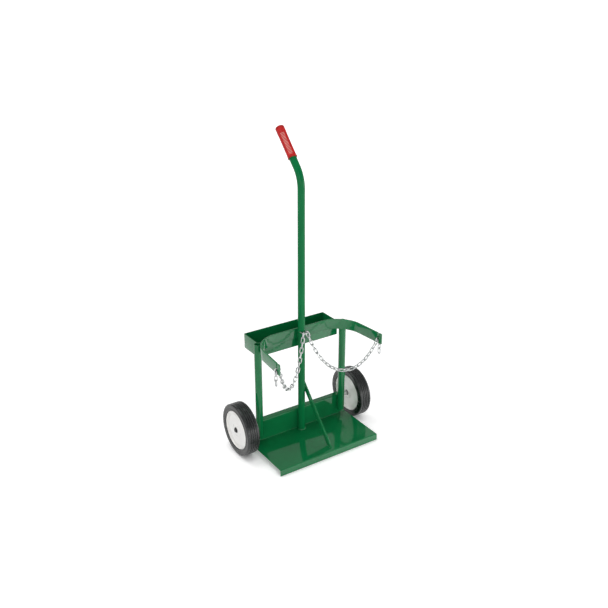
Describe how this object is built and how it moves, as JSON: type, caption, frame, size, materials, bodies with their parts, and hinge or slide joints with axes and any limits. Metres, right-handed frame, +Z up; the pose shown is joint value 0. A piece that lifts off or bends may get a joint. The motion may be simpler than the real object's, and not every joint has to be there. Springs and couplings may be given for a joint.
{
  "type": "gas cylinder trolley",
  "caption": "Upright wheeled trolley for gas cylinders, with a folded toe plate, bent mast handle, curved strap with retaining chains and a rear tool tray.",
  "frame": {"origin": "on the floor, under the centre of the outer box", "axes": "+Z up, -Y towards the toe plate's lip, +Y towards the bent handle, +X to the right seen from the front; X = 0 is the mirror plane of everything but the brace"},
  "size_m": [0.5628, 0.3474, 1.1815],
  "materials": {
    "green_paint": "gloss",
    "red_grip": "satin",
    "zinc_plate": "zinc plated",
    "axle_steel": "dark oxide",
    "black_plastic": "matte",
    "tyre_rubber": "matte",
    "disc_paint": "satin"
  },
  "bodies": {
    "frame": {"base_plate": "green_paint", "mast_tube": "green_paint", "left_post": "green_paint", "right_post": "green_paint", "tool_tray": "green_paint", "cylinder_strap": "green_paint", "brace_bar": "green_paint", "handle_grip": "red_grip", "chain_loop": "zinc_plate", "axle": "axle_steel", "axle_spacers": "zinc_plate", "axle_caps": "black_plastic", "slot_links": "zinc_plate"},
    "left_wheel": {"left_tyre": "tyre_rubber", "left_outer_disc": "disc_paint", "left_inner_disc": "disc_paint", "left_hub": "axle_steel"},
    "right_wheel": {"right_tyre": "tyre_rubber", "right_outer_disc": "disc_paint", "right_inner_disc": "disc_paint", "right_hub": "axle_steel"},
    "left_chain": {"left_drape": "zinc_plate"},
    "right_chain": {"right_drape": "zinc_plate"},
    "left_chain_end": {"left_tail": "zinc_plate"},
    "right_chain_end": {"right_tail": "zinc_plate"}
  },
  "joints": [
    {"name": "left_wheel_spin", "type": "hinge", "parent": "frame", "child": "left_wheel", "pos_m": [-0.255, 0.04805, 0.1], "axis": [1, 0, 0], "continuous": true},
    {"name": "right_wheel_spin", "type": "hinge", "parent": "frame", "child": "right_wheel", "pos_m": [0.255, 0.04805, 0.1], "axis": [1, 0, 0], "continuous": true},
    {"name": "left_chain_swing", "type": "hinge", "parent": "frame", "child": "left_chain", "pos_m": [-0.00828, -0.0004, 0.445], "axis": [0.7856, 0.6124, 0.0887], "range_deg": [-15, 15]},
    {"name": "right_chain_swing", "type": "hinge", "parent": "frame", "child": "right_chain", "pos_m": [0.00828, -0.0004, 0.445], "axis": [0.7856, -0.6124, -0.0887], "range_deg": [-15, 15]},
    {"name": "left_tail_swing", "type": "hinge", "parent": "frame", "child": "left_chain_end", "pos_m": [-0.22388, -0.15696, 0.422], "axis": [0.9962, -0.0872, 0], "range_deg": [-30, 30]},
    {"name": "right_tail_swing", "type": "hinge", "parent": "frame", "child": "right_chain_end", "pos_m": [0.22388, -0.15696, 0.422], "axis": [0.9962, 0.0872, 0], "range_deg": [-30, 30]}
  ]
}
